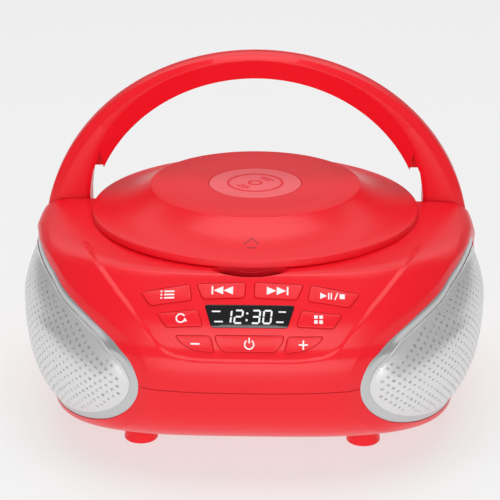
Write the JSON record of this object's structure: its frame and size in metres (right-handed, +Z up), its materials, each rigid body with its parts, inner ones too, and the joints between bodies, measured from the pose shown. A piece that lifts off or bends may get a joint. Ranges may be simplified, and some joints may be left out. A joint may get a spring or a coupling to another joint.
{
  "type": "portable cd boombox",
  "caption": "Portable top-loading CD boombox with a folding arch handle, round disc lid, side speaker grilles, sloping key panel and telescopic aerial.",
  "frame": {"origin": "centre of the footprint, on the plane the feet stand on", "axes": "+X to the right seen from the front, +Y to the rear, +Z up; the control panel faces -Y"},
  "size_m": [0.2422, 0.222, 0.1847],
  "materials": {
    "red_shell": "smooth satin-gloss red ABS",
    "red_badge": "paler red satin inlay",
    "grille_silver": "silver paint over punched steel",
    "steel": "bright steel",
    "black_plastic": "black moulded plastic",
    "display_glass": "clear-coated black window",
    "circuit_board": "solder-masked circuit board",
    "grey_plastic": "grey moulded plastic",
    "paper_cone": "dark paper cone",
    "ferrite": "dark ferrite and laminated iron"
  },
  "bodies": {
    "case": {"bottom_shell": "red_shell", "top_shell": "red_shell", "foot_front_right": "red_shell", "foot_front_left": "red_shell", "foot_rear_right": "red_shell", "foot_rear_left": "red_shell", "grille_left": "grille_silver", "speaker_basket_left": "steel", "handle_pivot_left": "steel", "battery_contact_left": "steel", "speaker_cone_left": "paper_cone", "speaker_magnet_left": "ferrite", "grille_right": "grille_silver", "speaker_basket_right": "steel", "handle_pivot_right": "steel", "battery_contact_right": "steel", "speaker_cone_right": "paper_cone", "speaker_magnet_right": "ferrite", "case_screw_1": "steel", "case_screw_2": "steel", "case_screw_3": "steel", "case_screw_4": "steel", "lid_hinge_pin": "steel", "spindle_motor": "steel", "sled_rod_front": "steel", "sled_rod_rear": "steel", "usb_socket": "steel", "display_module": "grey_plastic", "drive_chassis": "grey_plastic", "disc_tray": "black_plastic", "mains_inlet": "black_plastic", "aux_jack": "black_plastic", "phones_jack": "black_plastic", "display_window": "display_glass", "key_board_upper": "circuit_board", "key_board_lower": "circuit_board", "main_board": "circuit_board", "transformer": "ferrite"},
    "lid_body": {"lid": "red_shell", "lid_badge": "red_badge", "lid_plate": "grey_plastic"},
    "clamper_body": {"disc_clamper": "black_plastic"},
    "handle_body": {"handle_front": "red_shell", "handle_rear": "red_shell"},
    "turntable_body": {"disc_turntable": "black_plastic"},
    "sled_body": {"pickup_sled": "black_plastic"},
    "battery_door_body": {"battery_door": "red_shell"},
    "antenna_swivel_body": {"antenna_swivel": "steel", "antenna_outer_tube": "steel"},
    "antenna_middle_body": {"antenna_middle_tube": "steel"},
    "antenna_tip_body": {"antenna_tip": "steel"},
    "key_program_body": {"key_program": "red_shell"},
    "key_previous_body": {"key_previous": "red_shell"},
    "key_next_body": {"key_next": "red_shell"},
    "key_play_body": {"key_play": "red_shell"},
    "key_repeat_body": {"key_repeat": "red_shell"},
    "key_mode_body": {"key_mode": "red_shell"},
    "key_volume_down_body": {"key_volume_down": "red_shell"},
    "key_power_body": {"key_power": "red_shell"},
    "key_volume_up_body": {"key_volume_up": "red_shell"}
  },
  "joints": [
    {"name": "handle_fold", "type": "hinge", "parent": "case", "child": "handle_body", "pos_m": [0, 0.035, 0.086], "axis": [-1, 0, 0], "range_deg": [0, 90]},
    {"name": "lid_hinge", "type": "hinge", "parent": "case", "child": "lid_body", "pos_m": [0, 0.09, 0.101], "axis": [-1, 0, 0], "range_deg": [0, 65]},
    {"name": "clamper_spin", "type": "hinge", "parent": "lid_body", "child": "clamper_body", "pos_m": [0, 0.007, 0.104], "axis": [0, 0, 1], "continuous": true},
    {"name": "turntable_spin", "type": "hinge", "parent": "case", "child": "turntable_body", "pos_m": [0, 0.007, 0.095], "axis": [0, 0, 1], "continuous": true},
    {"name": "pickup_slide", "type": "slide", "parent": "case", "child": "sled_body", "axis": [1, 0, 0], "range_m": [0, 0.03]},
    {"name": "battery_door_hinge", "type": "hinge", "parent": "case", "child": "battery_door_body", "pos_m": [0, 0.0517, 0.009], "axis": [1, 0, 0], "range_deg": [0, 75]},
    {"name": "antenna_tilt", "type": "hinge", "parent": "case", "child": "antenna_swivel_body", "pos_m": [0.062, 0.1045, 0.066], "axis": [0, -1, 0], "range_deg": [-90, 0]},
    {"name": "antenna_middle_slide", "type": "slide", "parent": "antenna_swivel_body", "child": "antenna_middle_body", "axis": [1, 0, 0], "range_m": [-0.085, 0]},
    {"name": "antenna_tip_slide", "type": "slide", "parent": "antenna_middle_body", "child": "antenna_tip_body", "axis": [1, 0, 0], "range_m": [-0.085, 0]},
    {"name": "key_program_press", "type": "slide", "parent": "case", "child": "key_program_body", "axis": [0, 0.7803, -0.6254], "range_m": [0, 0.0012], "stiffness_N_per_m": 900},
    {"name": "key_previous_press", "type": "slide", "parent": "case", "child": "key_previous_body", "axis": [0, 0.7803, -0.6254], "range_m": [0, 0.0012], "stiffness_N_per_m": 900},
    {"name": "key_next_press", "type": "slide", "parent": "case", "child": "key_next_body", "axis": [0, 0.7803, -0.6254], "range_m": [0, 0.0012], "stiffness_N_per_m": 900},
    {"name": "key_play_press", "type": "slide", "parent": "case", "child": "key_play_body", "axis": [0, 0.7803, -0.6254], "range_m": [0, 0.0012], "stiffness_N_per_m": 900},
    {"name": "key_repeat_press", "type": "slide", "parent": "case", "child": "key_repeat_body", "axis": [0, 0.7803, -0.6254], "range_m": [0, 0.0012], "stiffness_N_per_m": 900},
    {"name": "key_mode_press", "type": "slide", "parent": "case", "child": "key_mode_body", "axis": [0, 0.7803, -0.6254], "range_m": [0, 0.0012], "stiffness_N_per_m": 900},
    {"name": "key_volume_down_press", "type": "slide", "parent": "case", "child": "key_volume_down_body", "axis": [0, 0.9488, -0.3159], "range_m": [0, 0.0012], "stiffness_N_per_m": 900},
    {"name": "key_power_press", "type": "slide", "parent": "case", "child": "key_power_body", "axis": [0, 0.9488, -0.3159], "range_m": [0, 0.0012], "stiffness_N_per_m": 900},
    {"name": "key_volume_up_press", "type": "slide", "parent": "case", "child": "key_volume_up_body", "axis": [0, 0.9488, -0.3159], "range_m": [0, 0.0012], "stiffness_N_per_m": 900}
  ],
  "couplings": [
    {"joint": "lid_hinge", "follows": "handle_fold", "ratio": 0.72222}
  ]
}
